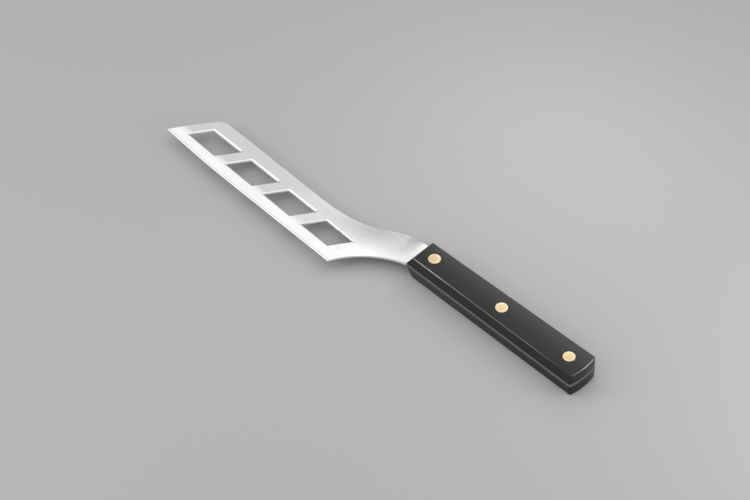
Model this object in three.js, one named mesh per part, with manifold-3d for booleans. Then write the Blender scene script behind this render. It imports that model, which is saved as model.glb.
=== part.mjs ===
// Foie gras knife: a pierced, slant-ended blade with a full tang, two riveted handle scales
// and three two-piece rivets. Millimetres and degrees. The knife lies flat on its lower scale:
// +X runs along the handle to the butt, +Y towards the spine of the blade and +Z up. It is drawn
// about the front of the handle at the middle of the tang's thickness, then moved so that the
// origin lies under the middle of its bounding box.

import * as THREE from 'three';
import { mergeVertices } from 'three/addons/utils/BufferGeometryUtils.js';
import Module from 'manifold-3d';

const wasm = await Module();
wasm.setup();

// Blade blank
const BLADE_THICKNESS = 1.8;
const BLADE_DEPTH = 26.2; // cutting edge to spine
const EDGE_LENGTH = 117.5; // heel to tip
const BELLY_LENGTH = 46; // stretch of the edge that curves up to the tip
const BELLY_RADIUS = 600;
const BLADE_DROOP = 2.75; // fall of the blade towards the heel, against the handle's axis
const FRONT_SLANT = 57; // slope of the slanted front end against the cutting edge
const FRONT_CORNER_RADIUS = 8.5; // where the front end meets the spine

// Ground flanks of the cutting edge
const GRIND_DEPTH = 5.9; // cutting edge to the top of the ground flank
const HONE_DEPTH = 1; // cutting edge to the top of the honed bevel
const FLANK_FOOT_THICKNESS = 0.5; // where the flank meets the honed bevel
const EDGE_LAND = 0.12; // thickness left at the very edge

// Slanted windows through the blade
const WINDOW_LENGTH = 20.55; // along the blade
const WINDOW_WEB = 6.6; // metal between two windows, along the blade
const WINDOW_SLANT = 58.6;
const WINDOW_CORNER_RADIUS = 0.5;
const EDGE_RAIL = 6.3; // metal below the windows
const SPINE_RAIL = 7.45; // metal above the windows
const HEEL_WEB = 2.95; // heel to the nearest window, at half its height
const LEAST_TIP_WEB = 3; // least metal between the row of windows and the front end

// Cranked neck between blade and handle
const HEEL_TO_HANDLE = 29.5; // heel to the front of the handle, along its axis
const HEEL_BELOW_AXIS = 34.05; // heel to the handle's axis
const HEEL_SCOOP = 3.95; // hollow of the scooped curve from heel to handle
const SWEEP_FROM_HEEL = 36.3; // where the spine starts to sweep up
const SWEEP_SPINE_PULL = 47.4; // how long the sweep keeps the spine's direction
const SWEEP_HANDLE_PULL = 26.4; // how long it keeps the handle's direction

// Handle, shared by the tang and both scales
const HANDLE_LENGTH = 113.8;
const HANDLE_FRONT_WIDTH = 15.9;
const HANDLE_BUTT_WIDTH = 19.35;
const BUTT_RADIUS = 38;
const BUTT_CORNER_RADIUS = 1.6;
const SCALE_THICKNESS = 6.4;
const SCALE_SETBACK = 3.9; // slope of the scale's front end, from tang to outer face
const SCALE_DRAFT = 0.6; // how far the two sides lean in, up to the bevel; the butt is upright
const SCALE_BEVEL = 0.45; // bevel round the outer face

// Two-piece rivets: a solid shank pressed into a tube, each with a flush head
const RIVET_FROM_FRONT = 11.6;
const RIVET_FROM_BUTT = 10.8;
const HEAD_DIAMETER = 6.6;
const HEAD_HEIGHT = 1.8;
const SHANK_DIAMETER = 2.6;
const TUBE_WALL = 0.7;
const SHANK_CLEARANCE = 0.1; // shank to tube, all round
const HOLE_CLEARANCE = 0.15; // rivet to its hole and seat, all round
const TUBE_END_GAP = 0.4; // tube end to the other half's head
const SHANK_END_GAP = 0.5; // shank end to the floor of the tube

// Fineness of curves, and how far a cutter runs past what it cuts
const BELLY_STEPS = 10;
const FRONT_CORNER_STEPS = 8;
const WINDOW_CORNER_STEPS = 3;
const SWEEP_STEPS = 28;
const SCOOP_STEPS = 16;
const BUTT_STEPS = 14;
const BUTT_CORNER_STEPS = 6;
const ROUND_STEPS = 40;
const OVERCUT = 1;
const WELD = 1e-5;

const droop = THREE.MathUtils.degToRad(BLADE_DROOP);
const heel = new THREE.Vector2(-HEEL_TO_HANDLE, -HEEL_BELOW_AXIS);
const towardsTip = new THREE.Vector2(-Math.cos(droop), Math.sin(droop));
const towardsSpine = new THREE.Vector2(Math.sin(droop), Math.cos(droop));
const bellyStart = EDGE_LENGTH - BELLY_LENGTH;
const halfBlade = BLADE_THICKNESS / 2;
const outerFace = halfBlade + SCALE_THICKNESS;
const shankRadius = SHANK_DIAMETER / 2;
const boreRadius = shankRadius + SHANK_CLEARANCE;
const tubeRadius = boreRadius + TUBE_WALL;
const headRadius = HEAD_DIAMETER / 2;

// A point of the blade, from its distance to the heel and its height over the straight edge
function onBlade(fromHeel, aboveEdge) {
  const point = heel.clone().addScaledVector(towardsTip, fromHeel);
  return point.addScaledVector(towardsSpine, aboveEdge);
}

// Height of the cutting edge over its straight stretch: the belly lifts it at the tip
function edgeHeight(fromHeel) {
  const past = Math.max(0, fromHeel - bellyStart);
  return BELLY_RADIUS - Math.sqrt(BELLY_RADIUS ** 2 - past ** 2);
}

// How far a slanted line runs back towards the heel while it climbs
function slantRun(climb, slant) {
  return climb / Math.tan(THREE.MathUtils.degToRad(slant));
}

function arc(centre, radius, from, turn, steps) {
  const curve = new THREE.EllipseCurve(centre.x, centre.y, radius, radius, from, from + turn, turn < 0);
  return curve.getPoints(steps);
}

// Round a corner between its two neighbours
function fillet(before, corner, after, radius, steps) {
  const back = before.clone().sub(corner).normalize();
  const ahead = after.clone().sub(corner).normalize();
  const half = Math.acos(back.dot(ahead)) / 2;
  const inwards = back.clone().add(ahead).normalize();
  const centre = corner.clone().addScaledVector(inwards, radius / Math.sin(half));
  const start = corner.clone().addScaledVector(back, radius / Math.tan(half));
  const turn = (Math.PI - 2 * half) * Math.sign(ahead.cross(back));
  return arc(centre, radius, start.sub(centre).angle(), turn, steps);
}

// Points strictly between two ends of an arc that bows to the right of its way
function bowedArc(start, end, bow, steps) {
  const chord = end.clone().sub(start);
  const half = chord.length() / 2;
  const radius = (half ** 2 + bow ** 2) / (2 * bow);
  const right = new THREE.Vector2(chord.y, -chord.x).normalize();
  const centre = start.clone().addScaledVector(chord, 0.5).addScaledVector(right, bow - radius);
  const turn = 2 * Math.asin(half / radius);
  return arc(centre, radius, start.clone().sub(centre).angle(), turn, steps).slice(1, -1);
}

// Outline of the handle from its near front corner round the butt, drawn in at sides and butt
function handleOutline(inset, buttInset, front) {
  const flare = Math.atan((HANDLE_BUTT_WIDTH - HANDLE_FRONT_WIDTH) / (2 * HANDLE_LENGTH));
  const slope = Math.tan(flare);
  const halfWidth = (x, drawnIn) => HANDLE_FRONT_WIDTH / 2 + x * slope - drawnIn / Math.cos(flare);
  const crown = new THREE.Vector2(HANDLE_LENGTH - BUTT_RADIUS, 0);
  // A rounded corner's centre lies its radius inside both the side and the crowned butt
  const cornerRadius = BUTT_CORNER_RADIUS - inset;
  const crownRadius = BUTT_RADIUS - buttInset;
  const reach = crownRadius - cornerRadius;
  const base = halfWidth(0, BUTT_CORNER_RADIUS);
  const a = 1 + slope ** 2;
  const b = base * slope - crown.x;
  const c = crown.x ** 2 + base ** 2 - reach ** 2;
  const cornerX = (-b + Math.sqrt(b ** 2 - a * c)) / a;
  const corner = new THREE.Vector2(cornerX, -halfWidth(cornerX, BUTT_CORNER_RADIUS));
  const sideAngle = -Math.PI / 2 - flare;
  const crownAngle = corner.clone().sub(crown).angle() - 2 * Math.PI;
  const cornerTurn = crownAngle - sideAngle;
  const farCorner = new THREE.Vector2(corner.x, -corner.y);
  return [
    new THREE.Vector2(front, -halfWidth(front, inset)),
    ...arc(corner, cornerRadius, sideAngle, cornerTurn, BUTT_CORNER_STEPS),
    ...arc(crown, crownRadius, crownAngle, -2 * crownAngle, BUTT_STEPS).slice(1, -1),
    ...arc(farCorner, cornerRadius, -crownAngle, cornerTurn, BUTT_CORNER_STEPS),
    new THREE.Vector2(front, halfWidth(front, inset)),
  ];
}

// Outline of blade, neck and tang: heel, edge, tip, spine, sweep, handle, and the scoop to the heel
function bladeOutline() {
  const edge = [onBlade(0, 0)];
  for (let i = 0; i <= BELLY_STEPS; i += 1) {
    const fromHeel = bellyStart + (BELLY_LENGTH * i) / BELLY_STEPS;
    edge.push(onBlade(fromHeel, edgeHeight(fromHeel)));
  }
  const tip = edge.at(-1);
  const frontClimb = BLADE_DEPTH - edgeHeight(EDGE_LENGTH);
  const frontTop = onBlade(EDGE_LENGTH - slantRun(frontClimb, FRONT_SLANT), BLADE_DEPTH);
  const sweepStart = onBlade(SWEEP_FROM_HEEL, BLADE_DEPTH);
  const tang = handleOutline(0, 0, 0).reverse();
  const sweep = new THREE.CubicBezierCurve(
    sweepStart,
    sweepStart.clone().addScaledVector(towardsTip, -SWEEP_SPINE_PULL),
    new THREE.Vector2(-SWEEP_HANDLE_PULL, HANDLE_FRONT_WIDTH / 2),
    tang[0],
  );
  return [
    ...edge,
    ...fillet(tip, frontTop, sweepStart, FRONT_CORNER_RADIUS, FRONT_CORNER_STEPS),
    ...sweep.getPoints(SWEEP_STEPS).slice(0, -1),
    ...tang,
    ...bowedArc(tang.at(-1), heel, HEEL_SCOOP, SCOOP_STEPS),
  ];
}

// The windows that fit between the heel and the front end, each a slanted four-sided hole
function windowOutlines() {
  const bottom = EDGE_RAIL;
  const top = BLADE_DEPTH - SPINE_RAIL;
  const middle = (bottom + top) / 2;
  const pitch = WINDOW_LENGTH + WINDOW_WEB;
  const frontRun = slantRun(middle - edgeHeight(EDGE_LENGTH), FRONT_SLANT);
  const room = EDGE_LENGTH - frontRun - LEAST_TIP_WEB - HEEL_WEB;
  const count = Math.floor((room + WINDOW_WEB) / pitch);
  const outlines = [];
  for (let i = 0; i < count; i += 1) {
    const heelSide = HEEL_WEB + i * pitch;
    const tipSide = heelSide + WINDOW_LENGTH;
    const lean = slantRun(middle - bottom, WINDOW_SLANT);
    const corners = [
      onBlade(heelSide + lean, bottom),
      onBlade(heelSide - lean, top),
      onBlade(tipSide - lean, top),
      onBlade(tipSide + lean, bottom),
    ];
    const rounded = corners.map((corner, k) => {
      const before = corners.at(k - 1);
      const after = corners[(k + 1) % corners.length];
      return fillet(before, corner, after, WINDOW_CORNER_RADIUS, WINDOW_CORNER_STEPS);
    });
    outlines.push(rounded.flat());
  }
  return outlines;
}

// Skin a row of outlines that all have the same number of points, and close both ends
function loft(outlines, place) {
  const size = outlines[0].length;
  const positions = [];
  outlines.forEach((outline, k) => {
    outline.forEach((point) => positions.push(...place(point, k).toArray()));
  });
  const index = [];
  for (let k = 0; k + 1 < outlines.length; k += 1) {
    for (let i = 0; i < size; i += 1) {
      const low = k * size + i;
      const lowNext = k * size + ((i + 1) % size);
      index.push(low, lowNext, lowNext + size, low, lowNext + size, low + size);
    }
  }
  const lastRing = (outlines.length - 1) * size;
  THREE.ShapeUtils.triangulateShape(outlines[0], []).forEach(([i, j, k]) => index.push(k, j, i));
  THREE.ShapeUtils.triangulateShape(outlines.at(-1), []).forEach(([i, j, k]) => {
    index.push(lastRing + i, lastRing + j, lastRing + k);
  });
  const geometry = new THREE.BufferGeometry();
  geometry.setAttribute('position', new THREE.Float32BufferAttribute(positions, 3));
  geometry.setIndex(index);
  return geometry;
}

// A shape turned about the Z axis, from a profile of radius and height that starts and ends on it
function turned(profile) {
  const points = profile.map(([radius, height]) => new THREE.Vector2(radius, height));
  return new THREE.LatheGeometry(points, ROUND_STEPS).rotateX(Math.PI / 2);
}

function toSolid(geometry) {
  geometry.deleteAttribute('normal');
  geometry.deleteAttribute('uv');
  const welded = mergeVertices(geometry, WELD);
  const corners = welded.getIndex().array;
  const triangles = [];
  for (let i = 0; i < corners.length; i += 3) {
    const [a, b, c] = corners.subarray(i, i + 3);
    if (a !== b && b !== c && c !== a) {
      triangles.push(a, b, c);
    }
  }
  const vertProperties = new Float32Array(welded.getAttribute('position').array);
  const triVerts = new Uint32Array(triangles);
  return new wasm.Manifold(new wasm.Mesh({ numProp: 3, vertProperties, triVerts }));
}

function toGeometry(solid) {
  const { vertProperties, triVerts } = solid.getMesh();
  const geometry = new THREE.BufferGeometry();
  geometry.setAttribute('position', new THREE.BufferAttribute(vertProperties, 3));
  geometry.setIndex(new THREE.BufferAttribute(triVerts, 1));
  geometry.computeVertexNormals();
  return geometry;
}

// What one flank's grinding takes off, swept along the cutting edge from past the tip to past the heel
function grindCutter(side) {
  const foot = FLANK_FOOT_THICKNESS / 2;
  const land = EDGE_LAND / 2;
  const flankSlope = (halfBlade - foot) / (GRIND_DEPTH - HONE_DEPTH);
  const clear = halfBlade + OVERCUT;
  const section = [
    new THREE.Vector2(-OVERCUT, land),
    new THREE.Vector2(0, land),
    new THREE.Vector2(HONE_DEPTH, foot),
    new THREE.Vector2(HONE_DEPTH + (clear - foot) / flankSlope, clear),
    new THREE.Vector2(-OVERCUT, clear),
  ];
  const stations = [EDGE_LENGTH + OVERCUT];
  for (let i = BELLY_STEPS; i >= 0; i -= 1) {
    stations.push(bellyStart + (BELLY_LENGTH * i) / BELLY_STEPS);
  }
  stations.push(-HEEL_TO_HANDLE);
  const facing = side > 0 ? section : section.map(({ x, y }) => new THREE.Vector2(x, -y)).reverse();
  const place = (point, k) => {
    const { x, y } = onBlade(stations[k], edgeHeight(stations[k]) + point.x);
    return new THREE.Vector3(x, y, point.y);
  };
  return toSolid(loft(stations.map(() => facing), place));
}

function rivetPlaces() {
  const front = RIVET_FROM_FRONT;
  const rear = HANDLE_LENGTH - RIVET_FROM_BUTT;
  return [['front', front], ['middle', (front + rear) / 2], ['rear', rear]];
}

function bladeAndTang() {
  const shape = new THREE.Shape(bladeOutline());
  shape.holes = windowOutlines().map((points) => new THREE.Path(points));
  const blank = new THREE.ExtrudeGeometry(shape, { depth: BLADE_THICKNESS, bevelEnabled: false });
  let solid = toSolid(blank.translate(0, 0, -halfBlade));
  solid = solid.subtract(grindCutter(1)).subtract(grindCutter(-1));
  const holeRadius = tubeRadius + HOLE_CLEARANCE;
  const drill = [
    [0, -BLADE_THICKNESS],
    [holeRadius, -BLADE_THICKNESS],
    [holeRadius, BLADE_THICKNESS],
    [0, BLADE_THICKNESS],
  ];
  rivetPlaces().forEach(([, x]) => {
    solid = solid.subtract(toSolid(turned(drill).translate(x, 0, 0)));
  });
  return toGeometry(solid);
}

// One handle scale as it lies on top of the tang; turned over, it fits the other side
function handleScale() {
  const bevelFoot = SCALE_THICKNESS - SCALE_BEVEL;
  const setback = (SCALE_SETBACK * bevelFoot) / SCALE_THICKNESS;
  const outlines = [
    handleOutline(0, 0, 0),
    handleOutline(SCALE_DRAFT, 0, setback),
    handleOutline(SCALE_DRAFT + SCALE_BEVEL, SCALE_BEVEL, SCALE_SETBACK + SCALE_BEVEL),
  ];
  const heights = [0, bevelFoot, SCALE_THICKNESS];
  const place = ({ x, y }, k) => new THREE.Vector3(x, y, halfBlade + heights[k]);
  let solid = toSolid(loft(outlines, place));
  const holeRadius = tubeRadius + HOLE_CLEARANCE;
  const seatRadius = headRadius + HOLE_CLEARANCE;
  const seatFloor = outerFace - HEAD_HEIGHT;
  const drill = [
    [0, halfBlade - OVERCUT],
    [holeRadius, halfBlade - OVERCUT],
    [holeRadius, seatFloor],
    [seatRadius, seatFloor],
    [seatRadius, outerFace + OVERCUT],
    [0, outerFace + OVERCUT],
  ];
  rivetPlaces().forEach(([, x]) => {
    solid = solid.subtract(toSolid(turned(drill).translate(x, 0, 0)));
  });
  return toGeometry(solid);
}

function rivetMale() {
  const boreFloor = -outerFace + HEAD_HEIGHT;
  const shankEnd = boreFloor + SHANK_END_GAP;
  const headFoot = outerFace - HEAD_HEIGHT;
  return toGeometry(toSolid(turned([
    [0, shankEnd],
    [shankRadius, shankEnd],
    [shankRadius, headFoot],
    [headRadius, headFoot],
    [headRadius, outerFace],
    [0, outerFace],
  ])));
}

function rivetFemale() {
  const boreFloor = -outerFace + HEAD_HEIGHT;
  const tubeEnd = outerFace - HEAD_HEIGHT - TUBE_END_GAP;
  return toGeometry(toSolid(turned([
    [0, -outerFace],
    [headRadius, -outerFace],
    [headRadius, boreFloor],
    [tubeRadius, boreFloor],
    [tubeRadius, tubeEnd],
    [boreRadius, tubeEnd],
    [boreRadius, boreFloor],
    [0, boreFloor],
  ])));
}

const STEEL = { color: 0xd8dadb, roughness: 0.22, metalness: 1 };
const BLACK_PLASTIC = { color: 0x1b1b1c, roughness: 0.3, metalness: 0 };
const BRASS = { color: 0xe0c085, roughness: 0.3, metalness: 1 };

function piece(name, geometry, finish) {
  const mesh = new THREE.Mesh(geometry, new THREE.MeshStandardMaterial(finish));
  mesh.name = name;
  return mesh;
}

const knife = new THREE.Group();
const lowerScale = piece('lower_scale', handleScale(), BLACK_PLASTIC);
lowerScale.rotation.x = Math.PI;
knife.add(piece('blade_and_tang', bladeAndTang(), STEEL));
knife.add(piece('upper_scale', handleScale(), BLACK_PLASTIC));
knife.add(lowerScale);
rivetPlaces().forEach(([place, x]) => {
  const rivet = new THREE.Group();
  rivet.add(piece(`${place}_rivet_male`, rivetMale(), BRASS));
  rivet.add(piece(`${place}_rivet_female`, rivetFemale(), BRASS));
  rivet.position.x = x;
  knife.add(rivet);
});

const bounds = new THREE.Box3().setFromObject(knife);
const middle = bounds.getCenter(new THREE.Vector3());
knife.position.set(-middle.x, -middle.y, -bounds.min.z);

const part = new THREE.Group();
part.add(knife);
export default part;
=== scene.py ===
"""Foie gras knife: pierced steel blade with a full tang, two black acetal scales, three brass rivets.

Sizes are in millimetres from the front of the handle, on its axis, at the middle of the tang's
thickness: x runs to the butt, y to the spine and z up. The place function turns them into the
frame's metres. The blade's own coordinates are the distance from the heel and the height over
the straight part of the cutting edge.
"""

import math

import bmesh
import bpy
from mathutils import Matrix, Vector
from mathutils.geometry import delaunay_2d_cdt, interpolate_bezier, intersect_point_line


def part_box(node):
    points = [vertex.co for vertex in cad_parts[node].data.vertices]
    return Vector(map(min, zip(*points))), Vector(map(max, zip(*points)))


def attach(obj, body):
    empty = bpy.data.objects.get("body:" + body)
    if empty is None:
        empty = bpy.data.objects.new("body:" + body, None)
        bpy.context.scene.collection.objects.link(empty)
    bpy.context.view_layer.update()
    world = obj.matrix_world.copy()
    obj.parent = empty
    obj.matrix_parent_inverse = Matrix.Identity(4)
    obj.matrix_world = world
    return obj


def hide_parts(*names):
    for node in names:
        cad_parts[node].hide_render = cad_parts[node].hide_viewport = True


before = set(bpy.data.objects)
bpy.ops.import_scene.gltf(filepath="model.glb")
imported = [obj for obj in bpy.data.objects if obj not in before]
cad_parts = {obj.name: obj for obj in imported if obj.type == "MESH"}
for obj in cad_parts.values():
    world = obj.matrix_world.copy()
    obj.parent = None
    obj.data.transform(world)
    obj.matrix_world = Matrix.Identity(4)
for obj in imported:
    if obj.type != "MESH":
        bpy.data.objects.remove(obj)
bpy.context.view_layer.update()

MM = 0.001

# Blade blank
BLADE_THICKNESS = 1.8
BLADE_DEPTH = 26.2
EDGE_LENGTH = 117.5
BELLY_LENGTH = 46.0
BELLY_RADIUS = 600.0
BLADE_DROOP = math.radians(2.75)
FRONT_SLANT = math.radians(57.0)
FRONT_CORNER_RADIUS = 8.5

# Ground flanks, whose shoulder is eased into the flat of the blade
HONE_DEPTH = 1.0
FLANK_HEIGHT = 5.0
SHOULDER_HEIGHT = 8.9
FLANK_FOOT_THICKNESS = 0.5
EDGE_LAND = 0.12

# Hollow polish of the neck: its depth on each face, how fast it fades away from the scoop and the
# sweep, the height over the edge at which the scoop's hollow is full, and where it runs out
SCOOP_RELIEF = 0.28
SCOOP_FADE = 6.0
SCOOP_RISE = 10.0
SWEEP_RELIEF = 0.4
SWEEP_FADE = 10.0
SWEEP_END = 2.0
SWEEP_RUN_OUT = 9.0
RELIEF_START = 18.0
RELIEF_AT_HANDLE = 0.4
RELIEF_END = 4.0

# Windows
WINDOW_LENGTH = 20.55
WINDOW_WEB = 6.6
WINDOW_SLANT = math.radians(58.6)
WINDOW_CORNER_RADIUS = 0.5
WINDOW_COUNT = 4
EDGE_RAIL = 6.3
SPINE_RAIL = 7.45
HEEL_WEB = 2.95

# Neck
HEEL_TO_HANDLE = 29.5
HEEL_BELOW_AXIS = 34.05
HEEL_SCOOP = 3.95
SWEEP_FROM_HEEL = 36.3
SWEEP_SPINE_PULL = 47.4
SWEEP_HANDLE_PULL = 26.4

# Handle
HANDLE_LENGTH = 113.8
HANDLE_FRONT_WIDTH = 15.9
HANDLE_BUTT_WIDTH = 19.35
BUTT_RADIUS = 38.0
BUTT_CORNER_RADIUS = 1.6
SCALE_THICKNESS = 6.4
SCALE_SETBACK = 3.9
SCALE_DRAFT = 0.6
SCALE_CHAMFER_DROP = 0.4
SCALE_CHAMFER_WIDTH = 0.45
SCALE_CHAMFER_BLEND = 0.14
SCALE_FRONT_CORNER = 0.5
SEAM_RADIUS = 0.1

# Rivets
RIVET_FROM_FRONT = 11.6
RIVET_FROM_BUTT = 10.8
RIVET_COUNT = 3
HEAD_DIAMETER = 6.6
HEAD_HEIGHT = 1.8
SHANK_DIAMETER = 2.6
TUBE_WALL = 0.7
SHANK_CLEARANCE = 0.1
HOLE_CLEARANCE = 0.15
TUBE_END_GAP = 0.4
SHANK_END_GAP = 0.5
SEAT_RIM = 0.1
HEAD_RIM = 0.16
HEAD_DISH = 0.03

# Rounded rims of the steel: the windows' rims are drawn in, and the punch that leaves them runs on
# past the face by a share of their size
OUTLINE_RIM = 0.12
WINDOW_RIM_WIDTH = 0.75
WINDOW_RIM_DEPTH = 0.62
WINDOW_RIM_LEAD = 0.9
WINDOW_RIM_TURNS = [math.radians(turn) for turn in (0, 18, 36, 54, 70)]
WINDOW_DRAWN_IN = 0.7
WINDOW_LEAST_RADIUS = 0.12

# Steps of the round stretches, and the longest step of the steel's outline
OUTLINE_STEP = 1.5
OUTLINE_RIM_STEPS = 2
BELLY_STEPS = 24
FRONT_CORNER_STEPS = 16
SWEEP_STEPS = 64
SCOOP_STEPS = 40
WINDOW_CORNER_STEPS = 5
WINDOW_SIDE_STEPS = 10
BUTT_STEPS = 48
BUTT_CORNER_STEPS = 8
SCALE_CORNER_STEPS = 5
SCALE_BEND_STEPS = 3
DRILL_STEPS = 48
SEAT_STEPS = 64
TURNED_STEPS = 72
HEAD_RIM_STEPS = 4
HEAD_RINGS = (0.8, 0.55, 0.3)

# Spots that carry the soft swell of the polished faces: rows over the cutting edge on the flank, on
# its shoulder and on the flat, columns along the blade, a grid over the neck, and the hone's line
FLANK_ROWS = 3
FLANK_ROW_STEP = 1.4
SHOULDER_ROWS = 8
SHOULDER_ROW_STEP = 0.6
FLAT_ROW_HEIGHTS = (12.0, 15.5, 19.0, 22.5)
BLADE_COLUMNS = 48
NECK_COLUMNS = 30
NECK_COLUMN_STEP = 1.6
NECK_ROWS = 24
NECK_ROW_STEP = 1.8
NECK_MARGIN = 1.0
CLEAR_OF_RIM = 0.6
HONE_STEP = 2.0
HONE_STEPS = 48

# Spacing of two spots that count as neighbours on the steel's surface, how far a spot may lie off a
# face or off the outline that it belongs to, and the least half thickness of a rounded rim
NEAR = 0.05
OFF_FACE = 0.015
OFF_OUTLINE = 0.1
RIM_LEAST_HEIGHT = 0.3

# Kinds of triangulation: of the whole hull of the points, and of what lies inside the edges
HULL, INSIDE = 0, 1

# Upright share of a normal that parts walls from faces, that of a ground face, and the angles from
# which an edge stays hard
STEEP = 0.5
LEVEL = 0.9
STEEL_HARD_EDGE = math.radians(50)
HANDLE_HARD_EDGE = math.radians(35)

HALF_BLADE = BLADE_THICKNESS / 2
DRILL_DEPTH = 3 * BLADE_THICKNESS
OUTER_FACE = HALF_BLADE + SCALE_THICKNESS
SHANK_RADIUS = SHANK_DIAMETER / 2
BORE_RADIUS = SHANK_RADIUS + SHANK_CLEARANCE
TUBE_RADIUS = BORE_RADIUS + TUBE_WALL
HEAD_RADIUS = HEAD_DIAMETER / 2
HOLE_RADIUS = TUBE_RADIUS + HOLE_CLEARANCE
SEAT_RADIUS = HEAD_RADIUS + HOLE_CLEARANCE
RIVET_STEP = (HANDLE_LENGTH - RIVET_FROM_BUTT - RIVET_FROM_FRONT) / (RIVET_COUNT - 1)
RIVET_XS = [RIVET_FROM_FRONT + i * RIVET_STEP for i in range(RIVET_COUNT)]

scale_low, scale_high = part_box("upper_scale")
blade_low, blade_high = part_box("blade_and_tang")
HANDLE_FRONT = Vector((
    scale_low.x,
    (scale_low.y + scale_high.y) / 2,
    (blade_low.z + blade_high.z) / 2,
))

HEEL = Vector((-HEEL_TO_HANDLE, -HEEL_BELOW_AXIS))
TO_TIP = Vector((-math.cos(BLADE_DROOP), math.sin(BLADE_DROOP)))
TO_SPINE = Vector((math.sin(BLADE_DROOP), math.cos(BLADE_DROOP)))


def place(x, y, z):
    return HANDLE_FRONT + Vector((x, y, z)) * MM


def on_blade(from_heel, above_edge):
    return HEEL + TO_TIP * from_heel + TO_SPINE * above_edge


def edge_height(from_heel):
    past = max(0.0, from_heel - (EDGE_LENGTH - BELLY_LENGTH))
    return BELLY_RADIUS - math.sqrt(BELLY_RADIUS ** 2 - past ** 2)


def above_cutting_edge(x, y):
    """Distance of a point over the cutting edge, which rises with the belly."""
    from_heel = (Vector((x, y)) - HEEL).dot(TO_TIP)
    return (Vector((x, y)) - HEEL).dot(TO_SPINE) - edge_height(from_heel)


def flank_drop(rise):
    """How far the ground flank lies under the flat, at a height over the cutting edge."""
    ease = SHOULDER_HEIGHT - FLANK_HEIGHT
    run = FLANK_HEIGHT - HONE_DEPTH + ease / 2
    slope = (HALF_BLADE - FLANK_FOOT_THICKNESS / 2) / run
    if rise < FLANK_HEIGHT:
        return slope * (FLANK_HEIGHT - rise + ease / 2)
    return slope * max(0.0, SHOULDER_HEIGHT - rise) ** 2 / (2 * ease)


def half_thickness(x, y):
    """Half of the blade's thickness: honed edge, flank with its eased shoulder, polished neck."""
    rise = above_cutting_edge(x, y)
    foot, land = FLANK_FOOT_THICKNESS / 2, EDGE_LAND / 2
    if x >= RELIEF_END:
        return HALF_BLADE
    if rise <= HONE_DEPTH:
        return land + (foot - land) * max(0.0, rise) / HONE_DEPTH
    point = Vector((x, y))
    if (point - HEEL).dot(TO_TIP) > SWEEP_FROM_HEEL:
        return HALF_BLADE - flank_drop(rise)
    kept = RELIEF_AT_HANDLE + (1 - RELIEF_AT_HANDLE) * min(1.0, max(0.0, -x / RELIEF_START))
    kept *= min(1.0, 1 - x / RELIEF_END)
    before_handle = min(1.0, max(0.0, (-x - SWEEP_END) / SWEEP_RUN_OUT))
    past_heel = min(1.0, rise / SCOOP_RISE)
    scooped = SCOOP_RELIEF * math.exp(-way_from(point, SCOOP_LINE) / SCOOP_FADE) * past_heel
    along_sweep = min(1.0, 1 - (point - HEEL).dot(TO_TIP) / SWEEP_FROM_HEEL)
    swept = SWEEP_RELIEF * math.exp(-way_from(point, SWEEP_LINE) / SWEEP_FADE) * along_sweep
    swept *= before_handle ** 2 * (3 - 2 * before_handle)
    return HALF_BLADE - flank_drop(rise) - scooped * kept - swept


def ground_normal(x, y, honed):
    """Normal of the blade's upper face at a spot of its flank or flat, or of the honed bevel."""
    rise = above_cutting_edge(x, y)
    low, high = (2 * NEAR, HONE_DEPTH - 2 * NEAR) if honed else (HONE_DEPTH + 2 * NEAR, math.inf)
    x, y = Vector((x, y)) + TO_SPINE * (min(max(rise, low), high) - rise)
    along = half_thickness(x + NEAR, y) - half_thickness(x - NEAR, y)
    across = half_thickness(x, y + NEAR) - half_thickness(x, y - NEAR)
    return Vector((-along, -across, 2 * NEAR)).normalized()


def way_from(point, line):
    """Shortest distance of a point from a line of points."""
    ways = []
    for a, b in zip(line, line[1:]):
        share = intersect_point_line(point, a, b)[1]
        ways.append((point - a.lerp(b, min(1.0, max(0.0, share)))).length)
    return min(ways)


def inside(point, loop):
    """Whether a closed line of points runs round a point."""
    hit = False
    for a, b in zip(loop, loop[1:] + loop[:1]):
        if (a.y > point.y) != (b.y > point.y):
            if point.x < a.x + (point.y - a.y) * (b.x - a.x) / (b.y - a.y):
                hit = not hit
    return hit


def arc(centre, radius, start, turn, steps):
    angles = [start + turn * i / steps for i in range(steps + 1)]
    return [centre + Vector((math.cos(a), math.sin(a))) * radius for a in angles]


def fillet(before, corner, after, radius, steps):
    back, ahead = (before - corner).normalized(), (after - corner).normalized()
    half = math.acos(back.dot(ahead)) / 2
    centre = corner + (back + ahead).normalized() * (radius / math.sin(half))
    start = corner + back * (radius / math.tan(half)) - centre
    side = 1 if ahead.x * back.y - ahead.y * back.x > 0 else -1
    return arc(centre, radius, math.atan2(start.y, start.x), side * (math.pi - 2 * half), steps)


def bowed_arc(start, end, bow, steps):
    """An arc that bows to the right of its way, without its two ends."""
    chord = end - start
    half = chord.length / 2
    radius = (half ** 2 + bow ** 2) / (2 * bow)
    right = Vector((chord.y, -chord.x)).normalized()
    centre = start + chord / 2 + right * (bow - radius)
    out = start - centre
    turn = 2 * math.asin(half / radius)
    return arc(centre, radius, math.atan2(out.y, out.x), turn, steps)[1:-1]


FLARE = math.atan((HANDLE_BUTT_WIDTH - HANDLE_FRONT_WIDTH) / (2 * HANDLE_LENGTH))


def half_width(x, inset):
    return HANDLE_FRONT_WIDTH / 2 + x * math.tan(FLARE) - inset / math.cos(FLARE)


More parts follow.
